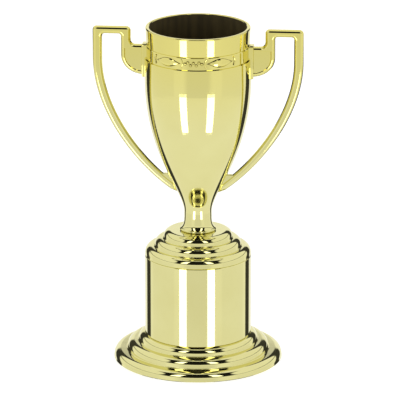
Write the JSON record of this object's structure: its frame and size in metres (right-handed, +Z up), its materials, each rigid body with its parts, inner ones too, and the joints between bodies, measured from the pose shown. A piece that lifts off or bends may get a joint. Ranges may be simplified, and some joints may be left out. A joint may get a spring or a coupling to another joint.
{
  "type": "cup trophy",
  "caption": "Presentation cup with angular side handles on a round stepped pedestal, clamped together by a threaded rod.",
  "frame": {"origin": "centre of the felt face that the trophy stands on", "axes": "+Z up along the cup's axis, X through the two handles, front towards -Y"},
  "size_m": [0.0774, 0.0626, 0.127],
  "materials": {
    "gold_plastic": "vacuum-metallised pale gold, lacquered, mirror bright",
    "zinc_steel": "bright zinc plate",
    "brass_insert": "turned brass",
    "iron_weight": "rough cast, dark",
    "hardboard": "smooth brown hardboard",
    "felt": "dark green pressed felt"
  },
  "bodies": {
    "root": {"bowl": "gold_plastic", "left_handle": "gold_plastic", "right_handle": "gold_plastic", "handle_push_nuts": "zinc_steel", "stem_insert": "brass_insert", "threaded_rod": "zinc_steel", "shoulder": "gold_plastic", "column": "gold_plastic", "weight": "iron_weight", "foot": "gold_plastic", "clamp_washer": "zinc_steel", "lock_washer": "zinc_steel", "clamp_nut": "zinc_steel", "base_cover": "hardboard", "felt_pad": "felt"}
  },
  "joints": []
}
